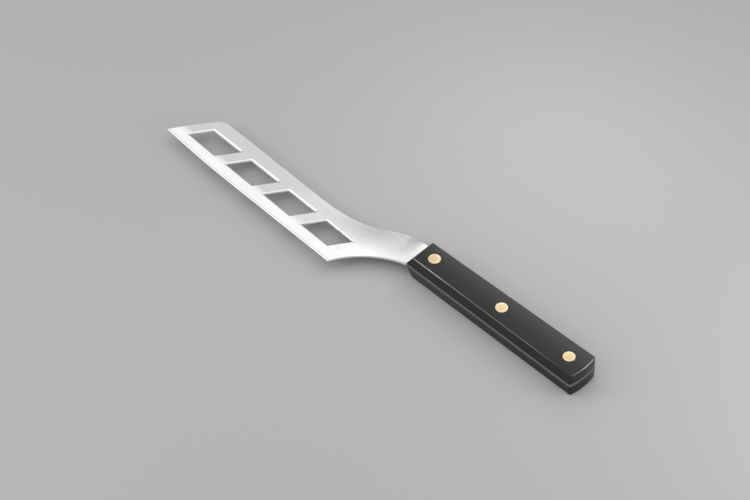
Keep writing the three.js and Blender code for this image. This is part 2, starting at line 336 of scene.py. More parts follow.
def handle_outline(inset, butt_inset, front, front_corner=0.0):
    """The handle's outline from the near front corner round the butt, drawn in at sides and butt."""
    slope = math.tan(FLARE)
    crown = Vector((HANDLE_LENGTH - BUTT_RADIUS, 0.0))
    base = half_width(0, BUTT_CORNER_RADIUS)
    a = 1 + slope ** 2
    b = base * slope - crown.x
    radius = BUTT_CORNER_RADIUS - inset
    crown_radius = BUTT_RADIUS - butt_inset
    c = crown.x ** 2 + base ** 2 - (crown_radius - radius) ** 2
    corner_x = (-b + math.sqrt(b ** 2 - a * c)) / a
    corner = Vector((corner_x, -half_width(corner_x, BUTT_CORNER_RADIUS)))
    side = -math.pi / 2 - FLARE
    round_to = math.atan2(corner.y, corner.x - crown.x)
    near = Vector((front, -half_width(front, inset)))
    far = Vector((near.x, -near.y))
    near_butt = arc(corner, radius, side, round_to - side, BUTT_CORNER_STEPS)
    far_butt = [Vector((p.x, -p.y)) for p in reversed(near_butt)]
    butt = arc(crown, crown_radius, round_to, -2 * round_to, BUTT_STEPS)[1:-1]
    first, last = [near], [far]
    if front_corner:
        first = fillet(far, near, near_butt[0], front_corner, SCALE_CORNER_STEPS)
        last = fillet(far_butt[-1], far, near, front_corner, SCALE_CORNER_STEPS)
    return first + near_butt + butt + far_butt + last


def sweep_line():
    """The S-shaped line from the spine to the far front corner of the handle."""
    start = on_blade(SWEEP_FROM_HEEL, BLADE_DEPTH)
    end = Vector((0, half_width(0, 0)))
    pulls = start - TO_TIP * SWEEP_SPINE_PULL, end - Vector((SWEEP_HANDLE_PULL, 0))
    return [Vector(p).to_2d() for p in interpolate_bezier(start, *pulls, end, SWEEP_STEPS + 1)]


SWEEP_LINE = sweep_line()
SCOOP_LINE = bowed_arc(Vector((0, -half_width(0, 0))), HEEL, HEEL_SCOOP, SCOOP_STEPS)


def blade_outline():
    """Heel, cutting edge, tip, slanted front, spine, sweep, tang and the scoop back to the heel."""
    straight = EDGE_LENGTH - BELLY_LENGTH
    belly = [straight + BELLY_LENGTH * i / BELLY_STEPS for i in range(BELLY_STEPS + 1)]
    edge = [HEEL] + [on_blade(s, edge_height(s)) for s in belly]
    climb = BLADE_DEPTH - edge_height(EDGE_LENGTH)
    front_top = on_blade(EDGE_LENGTH - climb / math.tan(FRONT_SLANT), BLADE_DEPTH)
    corner = fillet(edge[-1], front_top, SWEEP_LINE[0], FRONT_CORNER_RADIUS, FRONT_CORNER_STEPS)
    corners = edge + corner + SWEEP_LINE[:-1] + handle_outline(0, 0, 0)[::-1] + SCOOP_LINE
    outline = []
    for a, b in zip(corners, corners[1:] + corners[:1]):
        steps = math.ceil((b - a).length / OUTLINE_STEP)
        outline += [a.lerp(b, i / steps) for i in range(steps)]
    return outline


def new_object(name, mesh):
    obj = bpy.data.objects.new(name, mesh)
    bpy.context.scene.collection.objects.link(obj)
    return obj


def object_from(bm, name):
    mesh = bpy.data.meshes.new(name)
    bm.to_mesh(mesh)
    bm.free()
    return new_object(name, mesh)


def bake_modifiers(obj):
    """Turns what the modifiers show into the object's plain mesh and takes the modifiers off."""
    depsgraph = bpy.context.evaluated_depsgraph_get()
    shown = obj.evaluated_get(depsgraph)
    mesh = bpy.data.meshes.new_from_object(shown, preserve_all_data_layers=True, depsgraph=depsgraph)
    obj.modifiers.clear()
    obj.data = mesh


def keep_hard_edges(bm, angle):
    for face in bm.faces:
        face.smooth = True
    for edge in bm.edges:
        edge.smooth = len(edge.link_faces) == 2 and edge.calc_face_angle() < angle


def fill(bm, outer, holes):
    """Fills the flat region between an outer loop of vertices and round holes.

    A triangle belongs to a hole if its middle lies nearer to the hole's than the rim does, with a
    little slack for the straight steps of the rim.
    """
    slack, merge = 0.999, 1e-6
    loops = [outer] + holes
    verts = [v for loop in loops for v in loop]
    edges, first = [], 0
    for loop in loops:
        edges += [(first + i, first + (i + 1) % len(loop)) for i in range(len(loop))]
        first += len(loop)
    centres = [sum((v.co.to_2d() for v in loop), Vector((0, 0))) / len(loop) for loop in holes]
    reach = [(loop[0].co.to_2d() - c).length for loop, c in zip(holes, centres)]
    flat = [v.co.to_2d() for v in verts]
    points, _, triangles, sources, _, _ = delaunay_2d_cdt(flat, edges, [], INSIDE, merge)
    for tri in triangles:
        middle = sum((points[i] for i in tri), Vector((0, 0))) / 3
        if all((middle - c).length > r * slack for c, r in zip(centres, reach)):
            bm.faces.new([verts[sources[i][0]] for i in tri])


def bridge(bm, low, high):
    count = len(low)
    for i in range(count):
        bm.faces.new((low[i], low[(i + 1) % count], high[(i + 1) % count], high[i]))


def to_frame(bm, turned_over=False):
    """Takes a piece from the handle's millimetres to the frame, turned over about its axis or not."""
    for v in bm.verts:
        x, y, z = v.co
        v.co = place(x, -y, -z) if turned_over else place(x, y, z)


def hex_colour(text):
    """An sRGB hex value as linear red, green, blue and alpha."""
    channels = [int(text[i:i + 2], 16) / 255 for i in (1, 3, 5)]
    linear = [c / 12.92 if c <= 0.04045 else ((c + 0.055) / 1.055) ** 2.4 for c in channels]
    return (*linear, 1.0)


def add(tree, kind, inputs=None, **settings):
    """Adds a node with its settings; each input is a value or another node's output socket."""
    node = tree.nodes.new(kind)
    for name, value in settings.items():
        setattr(node, name, value)
    for key, value in (inputs or {}).items():
        if isinstance(value, bpy.types.NodeSocket):
            tree.links.new(value, node.inputs[key])
        else:
            node.inputs[key].default_value = value
    return node


def new_material(name, metallic=0.0):
    material = bpy.data.materials.new(name)
    material.use_nodes = True
    tree = material.node_tree
    tree.nodes.clear()
    shader = add(tree, "ShaderNodeBsdfPrincipled", {"Metallic": metallic})
    add(tree, "ShaderNodeOutputMaterial", {"Surface": shader.outputs["BSDF"]})
    return material, tree, shader


# Limits between which most of a noise texture's values lie
NOISE_LOW = 0.3
NOISE_HIGH = 0.7


def drawn_lines(tree, where, sizes, turn=0.0, detail=3.0, fineness=0.6):
    """Noise drawn out into lines, with sizes in millimetres along three axes turned about Z."""
    stretch = add(tree, "ShaderNodeMapping", {
        "Vector": where, "Rotation": (0, 0, turn), "Scale": [size * MM for size in sizes]},
        vector_type="TEXTURE")
    noise = add(tree, "ShaderNodeTexNoise", {
        "Vector": stretch.outputs[0], "Scale": 1.0, "Detail": detail, "Roughness": fineness})
    return noise.outputs["Fac"]


def score(tree, shader, lines, roughness, groove, patches=None):
    """Lets the lines of a finish carry its roughness and its grooves, and returns the roughness.

    The roughness runs between two values, and follows the patches too where there are any. A groove
    has a strength and a depth in millimetres.
    """
    shine, layers = lines, 1
    if patches is not None:
        shine = add(tree, "ShaderNodeMath", {0: lines, 1: patches}, operation="ADD").outputs[0]
        layers = 2
    rough = add(tree, "ShaderNodeMapRange", {
        "Value": shine, "From Min": layers * NOISE_LOW, "From Max": layers * NOISE_HIGH,
        "To Min": roughness[0], "To Max": roughness[1]})
    tree.links.new(rough.outputs["Result"], shader.inputs["Roughness"])
    bump = add(tree, "ShaderNodeBump", {
        "Height": lines, "Strength": groove[0], "Distance": groove[1] * MM})
    tree.links.new(bump.outputs["Normal"], shader.inputs["Normal"])
    return rough.outputs["Result"]


def satin_polished_stainless():
    """Rolled stainless sheet, satin polished along the blade: a bright, nearly even grey with
    long hair-fine lines that break up reflections across them, and faint cloudy wiping marks."""
    material, tree, shader = new_material("satin_polished_stainless", metallic=1.0)
    where = add(tree, "ShaderNodeTexCoord").outputs["Object"]
    # Lines of 0.25 mm, 30 mm long: real polishing lines are a tenth of that and would not show
    lines = drawn_lines(tree, where, (30, 0.25, 0.25), turn=-BLADE_DROOP)
    # Wiping marks about 18 mm across
    clouds = add(tree, "ShaderNodeTexNoise", {
        "Vector": where, "Scale": 1 / (18 * MM), "Detail": 2.0, "Roughness": 0.5})
    tone = add(tree, "ShaderNodeMix", {
        "Factor": lines, "A": hex_colour("#d6d8d9"), "B": hex_colour("#f3f4f5")}, data_type="RGBA")
    tree.links.new(tone.outputs["Result"], shader.inputs["Base Color"])
    score(tree, shader, lines, (0.13, 0.25), (0.3, 0.02), clouds.outputs["Fac"])
    return material


def honed_stainless():
    """The narrow bevel honed on a fine stone: bright, with fine lines across the edge and a thin
    grey line of painted shade where it meets the flank, in place of the crease's darker reflection."""
    material, tree, shader = new_material("honed_stainless", metallic=1.0)
    where = add(tree, "ShaderNodeTexCoord").outputs["Object"]
    # Honing lines of 0.2 mm pitch across the edge, coarser than the real grit so that they show
    lines = drawn_lines(tree, where, (0.2, 5, 5), turn=-BLADE_DROOP)
    tone = add(tree, "ShaderNodeMix", {
        "Factor": lines, "A": hex_colour("#dfe0e1"), "B": hex_colour("#e9eaeb")}, data_type="RGBA")
    rise = add(tree, "ShaderNodeAttribute", attribute_name="above_edge")
    # The grey line is painted shade along the crease with the flank: it takes the top 0.35 mm of the
    # bevel and is full 0.15 mm below its upper border
    line = add(tree, "ShaderNodeMapRange", {
        "Value": rise.outputs["Fac"], "From Min": HONE_DEPTH - 0.35, "From Max": HONE_DEPTH - 0.15})
    # Painted shade: the bevel's tone turns grey along its border with the flank
    tone_with_painted_crease_shade = add(tree, "ShaderNodeMix", {
        "Factor": line.outputs["Result"], "A": tone.outputs["Result"], "B": hex_colour("#aaacae")},
        data_type="RGBA")
    tree.links.new(tone_with_painted_crease_shade.outputs["Result"], shader.inputs["Base Color"])
    score(tree, shader, lines, (0.17, 0.26), (0.12, 0.02))
    return material


def cut_stainless_edge():
    """Laser-cut and tumbled walls: duller than the faces, with fine lines through the thickness."""
    material, tree, shader = new_material("cut_stainless_edge", metallic=1.0)
    where = add(tree, "ShaderNodeTexCoord").outputs["Object"]
    # Cutting lines of 0.25 mm pitch that run through the thickness
    lines = drawn_lines(tree, where, (0.25, 0.25, 3), detail=2.0, fineness=0.5)
    tone = add(tree, "ShaderNodeMix", {
        "Factor": lines, "A": hex_colour("#eaebec"), "B": hex_colour("#f4f4f5")}, data_type="RGBA")
    tree.links.new(tone.outputs["Result"], shader.inputs["Base Color"])
    score(tree, shader, lines, (0.6, 0.75), (0.2, 0.03))
    return material


def ground_tang_edge():
    """The tang's edge, ground flush with the scales on a coarse belt and left dull: a thin grey line
    with scratches that run along the handle."""
    material, tree, shader = new_material("ground_tang_edge", metallic=1.0)
    where = add(tree, "ShaderNodeTexCoord").outputs["Object"]
    # Belt scratches of 0.2 mm, 8 mm long
    lines = drawn_lines(tree, where, (8, 0.2, 0.2))
    tone = add(tree, "ShaderNodeMix", {
        "Factor": lines, "A": hex_colour("#7a7c7e"), "B": hex_colour("#9c9ea0")}, data_type="RGBA")
    tree.links.new(tone.outputs["Result"], shader.inputs["Base Color"])
    score(tree, shader, lines, (0.38, 0.5), (0.25, 0.03))
    return material


def buffed_black_acetal():
    """Black acetal, milled and buffed along the handle: deep black with a soft satin gloss,
    faint long scratches and a slight unevenness in the shine."""
    material, tree, shader = new_material("buffed_black_acetal")
    where = add(tree, "ShaderNodeTexCoord").outputs["Object"]
    # Buffing scratches of 0.4 mm, 25 mm long, drawn coarser than the real ones so that they show
    lines = drawn_lines(tree, where, (25, 0.4, 0.4), detail=4.0, fineness=0.65)
    # Uneven shine in patches of about 7 mm
    patches = add(tree, "ShaderNodeTexNoise", {
        "Vector": where, "Scale": 1 / (7 * MM), "Detail": 2.0, "Roughness": 0.5}).outputs["Fac"]
    tone = add(tree, "ShaderNodeMix", {
        "Factor": patches, "A": hex_colour("#0c0c0d"), "B": hex_colour("#111112")}, data_type="RGBA")
    tree.links.new(tone.outputs["Result"], shader.inputs["Base Color"])
    rough = score(tree, shader, lines, (0.12, 0.16), (0.04, 0.02), patches)
    # Edges rubbed to one even roughness by the buffing wheel
    rub = add(tree, "ShaderNodeAttribute", attribute_name="edge_rub")
    shine = add(tree, "ShaderNodeMix", {
        "Factor": rub.outputs["Fac"], "A": rough, "B": 0.13}, data_type="FLOAT")
    tree.links.new(shine.outputs["Result"], shader.inputs["Roughness"])
    shader.inputs["IOR"].default_value = 1.48
    return material


def turned_brass():
    """Brass rivet heads, faced on a lathe and buffed flush: pale gold with rings round the centre,
    and painted shading from a slightly deeper gold in the middle to a lighter painted sheen at the rim."""
    material, tree, shader = new_material("turned_brass", metallic=1.0)
    spot = add(tree, "ShaderNodeAttribute", attribute_name="rivet_spot")
    flat = add(tree, "ShaderNodeVectorMath", {0: spot.outputs["Vector"], 1: (1, 1, 0)},
               operation="MULTIPLY")
    radius = add(tree, "ShaderNodeVectorMath", {0: flat.outputs[0]}, operation="LENGTH")
    # Lathe rings of 0.3 mm pitch
    rings = add(tree, "ShaderNodeTexNoise", {
        "W": radius.outputs["Value"], "Scale": 1 / (0.3 * MM), "Detail": 2.0}, noise_dimensions="1D")
    # Painted shading: the deeper gold reaches out to a radius of 1.6 mm and fades into a lighter
    # painted sheen towards the rim
    rim = add(tree, "ShaderNodeMapRange", {
        "Value": radius.outputs["Value"], "From Min": 1.6 * MM, "From Max": HEAD_RADIUS * MM})
    tone = add(tree, "ShaderNodeMix", {
        "Factor": rim.outputs["Result"], "A": hex_colour("#d2b891"), "B": hex_colour("#dfcdad")},
        data_type="RGBA")
    tree.links.new(tone.outputs["Result"], shader.inputs["Base Color"])
    score(tree, shader, rings.outputs["Fac"], (0.22, 0.34), (0.15, 0.03))
    return material


def new_tree(name, inputs):
    """An empty Geometry Nodes tree, with its input and output nodes and the inputs' identifiers."""
    tree = bpy.data.node_groups.new(name, "GeometryNodeTree")
    tree.interface.new_socket("Geometry", in_out="INPUT", socket_type="NodeSocketGeometry")
    tree.interface.new_socket("Geometry", in_out="OUTPUT", socket_type="NodeSocketGeometry")
    keys = {}
    for label, kind in inputs.items():
        socket = tree.interface.new_socket(label, in_out="INPUT", socket_type="NodeSocket" + kind)
        keys[label] = socket.identifier
    return tree, add(tree, "NodeGroupInput").outputs, keys


def grow(obj, tree, keys, values):
    """Runs a tree on an object and leaves the result as the object's plain mesh."""
    modifier = obj.modifiers.new(tree.name, "NODES")
    modifier.node_group = tree
    for label, value in values.items():
        modifier[keys[label]] = value
    bake_modifiers(obj)


def piercing_tree():
    """Cuts a row of slanted windows and a row of round holes through a blade blank."""
    tree, given, keys = new_tree("pierced_blade", {
        "Punch": "Object", "Window Count": "Int", "First Window": "Vector",
        "Window Step": "Vector", "Row Turn": "Float", "Drill Depth": "Float",
        "Hole Radius": "Float", "Hole Count": "Int", "First Hole": "Vector", "Hole Step": "Vector",
        "Handle Front": "Float", "Face": "Material", "Bevel": "Material", "Wall": "Material",
        "Tang Wall": "Material"})
    punch = add(tree, "GeometryNodeObjectInfo", {"Object": given["Punch"]})
    row = add(tree, "GeometryNodeMeshLine", {
        "Count": given["Window Count"], "Start Location": given["First Window"],
        "Offset": given["Window Step"]})
    turn = add(tree, "ShaderNodeCombineXYZ", {"Z": given["Row Turn"]})
    punches = add(tree, "GeometryNodeInstanceOnPoints", {
        "Points": row.outputs[0], "Instance": punch.outputs["Geometry"], "Rotation": turn.outputs[0]})
    drill = add(tree, "GeometryNodeMeshCylinder", {
        "Vertices": DRILL_STEPS, "Radius": given["Hole Radius"], "Depth": given["Drill Depth"]})
    holes = add(tree, "GeometryNodeMeshLine", {
        "Count": given["Hole Count"], "Start Location": given["First Hole"],
        "Offset": given["Hole Step"]})
    drills = add(tree, "GeometryNodeInstanceOnPoints", {
        "Points": holes.outputs[0], "Instance": drill.outputs["Mesh"]})
    cutters = add(tree, "GeometryNodeJoinGeometry")
    tree.links.new(punches.outputs[0], cutters.inputs[0])
    tree.links.new(drills.outputs[0], cutters.inputs[0])
    solid = add(tree, "GeometryNodeRealizeInstances", {"Geometry": cutters.outputs[0]})
    pierced = add(tree, "GeometryNodeMeshBoolean", {
        "Mesh 1": given["Geometry"], "Mesh 2": solid.outputs[0]},
        operation="DIFFERENCE", solver="EXACT")
    real = add(tree, "GeometryNodeRealizeInstances", {"Geometry": pierced.outputs["Mesh"]})
    normal = add(tree, "GeometryNodeInputNormal")
    upright = add(tree, "ShaderNodeSeparateXYZ", {0: normal.outputs[0]})
    level = add(tree, "ShaderNodeMath", {0: upright.outputs["Z"]}, operation="ABSOLUTE")
    honed = add(tree, "GeometryNodeInputNamedAttribute", {"Name": "honed"}, data_type="INT")
    standing = add(tree, "FunctionNodeCompare", {"A": level.outputs[0], "B": STEEP},
                   data_type="FLOAT", operation="LESS_THAN")
    faced = add(tree, "GeometryNodeSetMaterial", {
        "Geometry": real.outputs[0], "Material": given["Face"]})
    bevelled = add(tree, "GeometryNodeSetMaterial", {
        "Geometry": faced.outputs[0], "Selection": honed.outputs[0], "Material": given["Bevel"]})
    walled = add(tree, "GeometryNodeSetMaterial", {
        "Geometry": bevelled.outputs[0], "Selection": standing.outputs[0], "Material": given["Wall"]})
    where = add(tree, "ShaderNodeSeparateXYZ", {0: add(tree, "GeometryNodeInputPosition").outputs[0]})
    behind = add(tree, "FunctionNodeCompare", {"A": where.outputs["X"], "B": given["Handle Front"]},
                 data_type="FLOAT", operation="GREATER_THAN")
    on_tang = add(tree, "FunctionNodeBooleanMath", {0: standing.outputs[0], 1: behind.outputs[0]},
                  operation="AND")
    tanged = add(tree, "GeometryNodeSetMaterial", {
        "Geometry": walled.outputs[0], "Selection": on_tang.outputs[0],
        "Material": given["Tang Wall"]})
    add(tree, "NodeGroupOutput", {0: tanged.outputs[0]})
    return tree, keys


def face_points(outline):
    """Spots over the blade and the neck that carry the soft swell of the polished faces."""
    rows = [FLANK_HEIGHT - FLANK_ROW_STEP * i for i in reversed(range(FLANK_ROWS))]
    rows += [FLANK_HEIGHT + SHOULDER_ROW_STEP * (i + 1) for i in range(SHOULDER_ROWS)]
    rows += FLAT_ROW_HEIGHTS
    spots = []
    for i in range(1, BLADE_COLUMNS):
        from_heel = EDGE_LENGTH * i / BLADE_COLUMNS
        spots += [on_blade(from_heel, edge_height(from_heel) + row) for row in rows]
    for i in range(NECK_COLUMNS):
        for j in range(NECK_ROWS):
            spot = Vector((RELIEF_END - NECK_COLUMN_STEP * i, HEEL.y + NECK_MARGIN + NECK_ROW_STEP * j))
            behind_heel = (spot - HEEL).dot(TO_TIP) < NECK_MARGIN
            over_spine = (spot - HEEL).dot(TO_SPINE) > BLADE_DEPTH - NECK_MARGIN
            if behind_heel or over_spine:
                spots.append(spot)
    border = outline + outline[:1]
    return [p for p in spots if inside(p, outline) and way_from(p, border) > CLEAR_OF_RIM]


def blade_blank():
    """The blade, neck and tang as one ground blank, before it is pierced.

    The line of the hone runs past the heel and the tip, where the outline cuts it off.
    """
    merge = 1e-5
    bm = bmesh.new()
    honed = bm.faces.layers.int.new("honed")
    outline = blade_outline()
    count = len(outline)
    edges = [(i, (i + 1) % count) for i in range(count)]
    straight = EDGE_LENGTH - BELLY_LENGTH
    stations = [-BELLY_LENGTH] + [straight + HONE_STEP * i for i in range(HONE_STEPS)]
    hone_line = [on_blade(s, edge_height(s) + HONE_DEPTH) for s in stations]
    edges += [(count + i, count + i + 1) for i in range(len(stations) - 1)]
    spots = outline + hone_line + face_points(outline)
    points, _, triangles, *_ = delaunay_2d_cdt(spots, edges, [], HULL, merge)
    tops, lows = [], []
    for p in points:
        half = half_thickness(p.x, p.y)
        tops.append(bm.verts.new((p.x, p.y, half)))
        lows.append(bm.verts.new((p.x, p.y, -half)))
    rim = {}
    for tri in triangles:
        middle = sum((points[i] for i in tri), Vector((0, 0))) / 3
        if not inside(middle, outline):
            continue
        on_bevel = above_cutting_edge(*middle) < HONE_DEPTH
        bm.faces.new([tops[i] for i in tri])[honed] = on_bevel
        bm.faces.new([lows[i] for i in reversed(tri)])[honed] = on_bevel
        for a, b in zip(tri, tri[1:] + tri[:1]):
            if (b, a) in rim:
                del rim[(b, a)]
            else:
                rim[(a, b)] = True
    for a, b in rim:
        bm.faces.new((tops[b], tops[a], lows[a], lows[b]))
    bmesh.ops.delete(bm, geom=[v for v in bm.verts if not v.link_faces], context="VERTS")
    bmesh.ops.recalc_face_normals(bm, faces=bm.faces[:])
    to_frame(bm)
    return object_from(bm, "pierced_blade")


def window_ring(grown):
    """Outline of a window about its middle, grown all round."""
    height = (BLADE_DEPTH - EDGE_RAIL - SPINE_RAIL) / 2 + grown
    length = WINDOW_LENGTH / 2 + grown / math.sin(WINDOW_SLANT)
    lean = height / math.tan(WINDOW_SLANT)
    corners = [Vector((-length - lean, -height)), Vector((length - lean, -height)),
               Vector((length + lean, height)), Vector((-length + lean, height))]
    radius = max(WINDOW_CORNER_RADIUS + grown, WINDOW_LEAST_RADIUS)
    turns = [fillet(before, corner, after, radius, WINDOW_CORNER_STEPS)
             for before, corner, after in zip(corners[-1:] + corners, corners, corners[1:] + corners)]
    ring = []
    for turn, after in zip(turns, turns[1:] + turns[:1]):
        shares = [i / WINDOW_SIDE_STEPS for i in range(1, WINDOW_SIDE_STEPS)]
        ring += turn + [turn[-1].lerp(after[0], share) for share in shares]
    return ring


def window_punch(from_heel, above_edge):
    """A punch for one window, about its middle: its ends flare and leave rounded rims."""
    width, depth = WINDOW_RIM_WIDTH, WINDOW_RIM_DEPTH
    flare = [(width * (1 - math.cos(a)), depth * (1 - math.sin(a))) for a in WINDOW_RIM_TURNS]
    out, deep = flare[-1]
    last = WINDOW_RIM_TURNS[-1]
    flare.append((out + WINDOW_RIM_LEAD * width * math.sin(last),
                  deep - WINDOW_RIM_LEAD * depth * math.cos(last)))
    bm = bmesh.new()
    loops = []
    for side in (-1, 1):
        levels = []
        for grown, deep in flare:
            loop = []
            for p in window_ring(grown - WINDOW_DRAWN_IN):
                spot = on_blade(from_heel - p.x, above_edge + p.y)
                z = side * (half_thickness(spot.x, spot.y) - deep)
                loop.append(bm.verts.new((p.x * MM, p.y * MM, z * MM)))
            levels.append(loop)
        end = [bm.verts.new((v.co.x, v.co.y, side * BLADE_THICKNESS * MM)) for v in levels[-1]]
        levels.append(end)
        loops = levels[::-1] if side < 0 else loops + levels
    for low, high in zip(loops, loops[1:]):
        bridge(bm, low, high)
    bm.faces.new(loops[0])
    bm.faces.new(loops[-1])
    bmesh.ops.triangulate(bm, faces=bm.faces[:])
    bmesh.ops.recalc_face_normals(bm, faces=bm.faces[:])
    return object_from(bm, "window_punch")


def outer_rims(bm):
    """The edges along the outline between faces and walls, except at the thin cutting edge."""
    border = blade_outline()
    border.append(border[0])
    rims = []
    for edge in bm.edges:
        lean = sorted(abs(f.normal.z) for f in edge.link_faces)
        tall = min(abs(v.co.z - HANDLE_FRONT.z) for v in edge.verts)
        if len(lean) == 2 and lean[0] < STEEP < lean[1] and tall > RIM_LEAST_HEIGHT * MM:
            spot = (sum((v.co for v in edge.verts), Vector()) / 2 - HANDLE_FRONT) / MM
            if way_from(spot.to_2d(), border) < OFF_OUTLINE:
                rims.append(edge)
    return rims


def ground_faces(bm):
    """Tells for each face whether it is ground, keeps the borders of ground faces hard, and stores
    the height over the cutting edge."""
    rise = bm.verts.layers.float.new("above_edge")
    on_face = set()
    for v in bm.verts:
        x, y, z = (v.co - HANDLE_FRONT) / MM
        v[rise] = above_cutting_edge(x, y)
        if abs(abs(z) - half_thickness(x, y)) < OFF_FACE:
            on_face.add(v)
    ground = [on_face.issuperset(face.verts) and abs(face.normal.z) > LEVEL for face in bm.faces]
    bm.faces.index_update()
    honed = bm.faces.layers.int["honed"]
    for edge in bm.edges:
        kinds = {(ground[f.index], f[honed]) for f in edge.link_faces}
        edge.smooth = edge.smooth and len(kinds) == 1
    return ground


def make_blade():
    blade = blade_blank()
    tree, keys = piercing_tree()
    middle = HEEL_WEB + WINDOW_LENGTH / 2, (EDGE_RAIL + BLADE_DEPTH - SPINE_RAIL) / 2
    punch = window_punch(*middle)
    first = on_blade(*middle)
    step = TO_TIP * (WINDOW_LENGTH + WINDOW_WEB) * MM
    grow(blade, tree, keys, {
        "Punch": punch,
        "Window Count": WINDOW_COUNT,
        "First Window": place(first.x, first.y, 0),
        "Window Step": (step.x, step.y, 0),
        "Row Turn": -BLADE_DROOP,
        "Drill Depth": DRILL_DEPTH * MM,
        "Hole Radius": HOLE_RADIUS * MM,
        "Hole Count": RIVET_COUNT,
        "First Hole": place(RIVET_FROM_FRONT, 0, 0),
        "Hole Step": (RIVET_STEP * MM, 0, 0),
        "Face": satin_polished_stainless(),
        "Bevel": honed_stainless(),
        "Wall": cut_stainless_edge(),
        "Handle Front": place(0, 0, 0).x,
        "Tang Wall": ground_tang_edge(),
    })
    bpy.data.objects.remove(punch)
    bm = bmesh.new()
    bm.from_mesh(blade.data)
    bmesh.ops.bevel(bm, geom=outer_rims(bm), offset=OUTLINE_RIM * MM, offset_type="OFFSET",
                    segments=OUTLINE_RIM_STEPS, profile=0.5, affect="EDGES", clamp_overlap=True,
                    material=-1)
    keep_hard_edges(bm, STEEL_HARD_EDGE)
    ground = ground_faces(bm)
    bm.to_mesh(blade.data)
    bm.free()
    smooth_ground_faces(blade.data, ground)
    return blade


def smooth_ground_faces(mesh, ground):
    """Gives the ground faces the normals of their true surface, whatever triangles they consist of."""
    normals = [corner.vector.copy() for corner in mesh.corner_normals]
    honed = mesh.attributes["honed"].data
    known = {}
    for face in mesh.polygons:
        if not ground[face.index]:
            continue
        for corner in face.loop_indices:
            vertex = mesh.loops[corner].vertex_index
            key = vertex, honed[face.index].value
            if key not in known:
                x, y, z = (mesh.vertices[vertex].co - HANDLE_FRONT) / MM
                normal = ground_normal(x, y, key[1])
                known[key] = Vector((normal.x, normal.y, math.copysign(normal.z, z)))
            normals[corner] = known[key]
    mesh.normals_split_custom_set(normals)


def scale_rings():
    """Height over the tang, inset of sides and butt, and front end of each ring of a scale."""
    slope = SCALE_SETBACK / SCALE_THICKNESS
    foot = Vector((0.0, SCALE_THICKNESS - SCALE_CHAMFER_DROP))
    lip = Vector((SCALE_CHAMFER_WIDTH, SCALE_THICKNESS))
    seam, face = Vector((0.0, 0.0)), Vector((SCALE_THICKNESS, SCALE_THICKNESS))
    low_bend = fillet(seam, foot, lip, SCALE_CHAMFER_BLEND, SCALE_BEND_STEPS)
    high_bend = fillet(foot, lip, face, SCALE_CHAMFER_BLEND, SCALE_BEND_STEPS)
    # Rings close beside the bends keep the faces between them flat to the eye
    up = (high_bend[0] - low_bend[-1]).normalized() * NEAR
    edge = [low_bend[0] - Vector((0.0, NEAR))] + low_bend + [low_bend[-1] + up]
    edge += [high_bend[0] - up] + high_bend + [high_bend[-1] + Vector((NEAR, 0.0))]
    rings = [(0.0, SEAM_RADIUS, SEAM_RADIUS, SEAM_RADIUS), (SEAM_RADIUS, 0.0, 0.0, slope * SEAM_RADIUS)]
    for drawn_in, height in edge:
        below = min(height, foot.y)
        lean = SCALE_DRAFT * below / foot.y
        rings.append((height, lean + drawn_in, drawn_in, slope * below + drawn_in))
    return rings


def hole_ring(bm, x, radius, height):
    ring = arc(Vector((x, 0)), radius, 0, 2 * math.pi, SEAT_STEPS)[:-1]
    return [bm.verts.new((p.x, p.y, height)) for p in ring]


def make_scale(name, turned_over, material):
    bm = bmesh.new()
    rub = bm.verts.layers.float.new("edge_rub")
    loops = []
    for height, inset, butt_inset, front in scale_rings():
        outline = handle_outline(inset, butt_inset, front, SCALE_FRONT_CORNER)
        loops.append([bm.verts.new((p.x, p.y, HALF_BLADE + height)) for p in outline])
    # The buffing wheel rubs the bevel, between the rings of the side and those of the outer face
    for loop in loops[3:-2]:
        for v in loop:
            v[rub] = 1.0
    for low, high in zip(loops, loops[1:]):
        bridge(bm, low, high)
    seat_floor = OUTER_FACE - HEAD_HEIGHT
    bored = [(HOLE_RADIUS, HALF_BLADE), (HOLE_RADIUS, seat_floor), (SEAT_RADIUS, seat_floor),
             (SEAT_RADIUS, OUTER_FACE - SEAT_RIM), (SEAT_RADIUS + SEAT_RIM, OUTER_FACE)]
    floors, mouths = [], []
    for x in RIVET_XS:
        steps = [hole_ring(bm, x, radius, height) for radius, height in bored]
        for low, high in zip(steps, steps[1:]):
            bridge(bm, low, high)
        floors.append(steps[0])
        mouths.append(steps[-1])
    fill(bm, loops[0], floors)
    fill(bm, loops[-1], mouths)
    bmesh.ops.recalc_face_normals(bm, faces=bm.faces[:])
    keep_hard_edges(bm, HANDLE_HARD_EDGE)
    to_frame(bm, turned_over)
    scale = object_from(bm, name)
    scale.data.materials.append(material)
    return scale


def turned_piece(name, profile):
    """A mesh turned about Z from a profile of radius and height that starts and ends on the axis."""
    bm = bmesh.new()
    rings = []
    for radius, height in profile:
        if radius == 0:
            rings.append([bm.verts.new((0, 0, height * MM))])
        else:
            ring = arc(Vector((0, 0)), radius * MM, 0, 2 * math.pi, TURNED_STEPS)[:-1]
            rings.append([bm.verts.new((p.x, p.y, height * MM)) for p in ring])
    for low, high in zip(rings, rings[1:]):
        for i in range(TURNED_STEPS):
            j = (i + 1) % TURNED_STEPS
            corners = [low[i % len(low)], low[j % len(low)], high[j % len(high)], high[i % len(high)]]
            bm.faces.new(list(dict.fromkeys(corners)))
    bmesh.ops.recalc_face_normals(bm, faces=bm.faces[:])
    keep_hard_edges(bm, HANDLE_HARD_EDGE)
    return object_from(bm, name)


